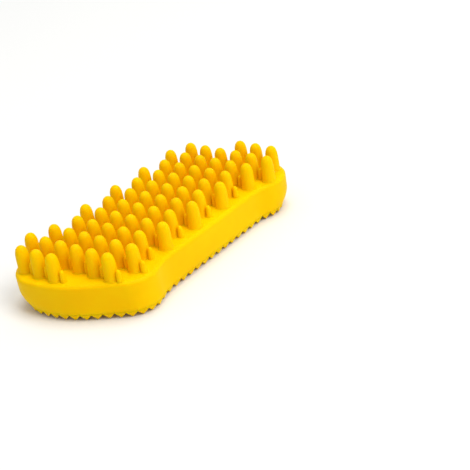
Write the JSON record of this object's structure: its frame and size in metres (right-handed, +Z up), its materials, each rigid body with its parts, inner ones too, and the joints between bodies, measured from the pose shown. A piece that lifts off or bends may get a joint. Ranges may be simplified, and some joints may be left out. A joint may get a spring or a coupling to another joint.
{
  "type": "rubber curry brush",
  "caption": "Double-sided palm brush for pets: a waisted slab grip with long rounded teeth on one face and diagonal ridges with short pointed teeth on the other.",
  "frame": {"origin": "centre of the footprint, at the level of the short side's tips, on which the brush rests", "axes": "+Z up, the way the long teeth point; +Y along the brush's length; +X across its width"},
  "size_m": [0.0644, 0.1358, 0.0295],
  "materials": {
    "grip_rubber": "satin moulded yellow silicone rubber",
    "long_tooth_rubber": "satin moulded yellow silicone rubber",
    "short_tooth_rubber": "satin moulded yellow silicone rubber"
  },
  "bodies": {
    "root": {"grip_body": "grip_rubber", "long_tooth_row_01": "long_tooth_rubber", "long_tooth_row_02": "long_tooth_rubber", "long_tooth_row_03": "long_tooth_rubber", "long_tooth_row_04": "long_tooth_rubber", "long_tooth_row_05": "long_tooth_rubber", "long_tooth_row_06": "long_tooth_rubber", "long_tooth_row_07": "long_tooth_rubber", "long_tooth_row_08": "long_tooth_rubber", "long_tooth_row_09": "long_tooth_rubber", "long_tooth_row_10": "long_tooth_rubber", "long_tooth_row_11": "long_tooth_rubber", "long_tooth_row_12": "long_tooth_rubber", "long_tooth_row_13": "long_tooth_rubber", "cross_ridge_01": "short_tooth_rubber", "cross_ridge_02": "short_tooth_rubber", "cross_ridge_03": "short_tooth_rubber", "cross_ridge_04": "short_tooth_rubber", "cross_ridge_05": "short_tooth_rubber", "cross_ridge_06": "short_tooth_rubber", "cross_ridge_07": "short_tooth_rubber", "cross_ridge_08": "short_tooth_rubber", "cross_ridge_09": "short_tooth_rubber", "cross_ridge_10": "short_tooth_rubber", "cross_ridge_11": "short_tooth_rubber", "short_tooth_bay_01": "short_tooth_rubber", "short_tooth_bay_02": "short_tooth_rubber", "short_tooth_bay_03": "short_tooth_rubber", "short_tooth_bay_04": "short_tooth_rubber", "short_tooth_bay_05": "short_tooth_rubber", "short_tooth_bay_06": "short_tooth_rubber", "short_tooth_bay_07": "short_tooth_rubber", "short_tooth_bay_08": "short_tooth_rubber", "short_tooth_bay_09": "short_tooth_rubber", "short_tooth_bay_10": "short_tooth_rubber", "edge_tooth_row_near": "short_tooth_rubber", "edge_tooth_row_right": "short_tooth_rubber", "edge_tooth_row_far": "short_tooth_rubber", "edge_tooth_row_left": "short_tooth_rubber"}
  },
  "joints": []
}
